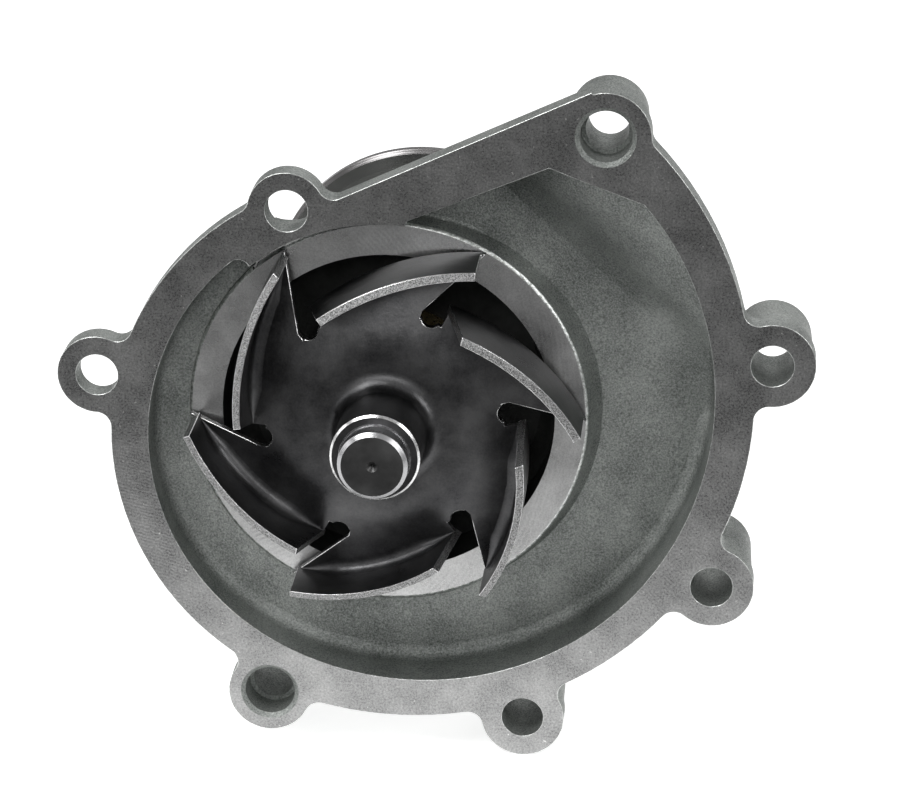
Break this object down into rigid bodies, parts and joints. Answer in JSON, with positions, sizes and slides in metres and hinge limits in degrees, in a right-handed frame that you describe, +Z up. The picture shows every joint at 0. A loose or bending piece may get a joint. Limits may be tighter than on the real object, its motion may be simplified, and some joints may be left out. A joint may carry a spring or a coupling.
{
  "type": "water pump",
  "caption": "Engine coolant pump with an open volute housing, a stamped impeller on a bearing shaft and a pulley hub behind.",
  "frame": {"origin": "where the shaft axis meets the gasket face of the flange", "axes": "+Y along the shaft from the impeller to the pulley hub, +Z up as fitted in the picture with the outlet at the upper right, +X to the right seen from the impeller"},
  "size_m": [0.1749, 0.1299, 0.1632],
  "materials": {
    "cast_aluminium": "as cast, machined flange face",
    "stamped_steel": "dark satin with bright sheared edges",
    "ground_steel": "ground",
    "hub_steel": "turned, oiled",
    "polished_steel": "polished",
    "cage_plastic": "glass-filled nylon",
    "seal_rubber": "moulded",
    "screw_steel": "black oxide",
    "seal_brass": "pressed sheet",
    "spring_steel": "stainless",
    "seal_carbon": "carbon graphite, lapped face",
    "seal_ceramic": "silicon carbide, lapped face"
  },
  "bodies": {
    "pump_body": {"housing": "cast_aluminium", "bearing_outer_ring": "ground_steel", "bearing_seal_inner": "seal_rubber", "bearing_seal_outer": "seal_rubber", "bearing_lock_screw": "screw_steel", "seal_case": "seal_brass", "seal_spring": "spring_steel", "seal_spring_plate": "seal_brass", "seal_bellows": "seal_rubber", "carbon_ring": "seal_carbon"},
    "rotor": {"shaft": "ground_steel", "impeller": "stamped_steel", "pulley_hub": "hub_steel", "slinger": "seal_rubber", "seal_sleeve": "spring_steel", "seat_cup": "seal_rubber", "seat_ring": "seal_ceramic"},
    "ball_set": {"bearing_balls": "polished_steel", "ball_cage": "cage_plastic"},
    "roller_set": {"bearing_rollers": "polished_steel", "roller_cage": "cage_plastic"}
  },
  "joints": [
    {"name": "shaft_spin", "type": "hinge", "parent": "pump_body", "child": "rotor", "pos_m": [0, 0, 0], "axis": [0, 1, 0], "continuous": true},
    {"name": "ball_cage_spin", "type": "hinge", "parent": "pump_body", "child": "ball_set", "pos_m": [0, 0, 0], "axis": [0, 1, 0], "continuous": true},
    {"name": "roller_cage_spin", "type": "hinge", "parent": "pump_body", "child": "roller_set", "pos_m": [0, 0, 0], "axis": [0, 1, 0], "continuous": true}
  ],
  "couplings": [
    {"joint": "ball_cage_spin", "follows": "shaft_spin", "ratio": 0.365},
    {"joint": "roller_cage_spin", "follows": "shaft_spin", "ratio": 0.391}
  ]
}
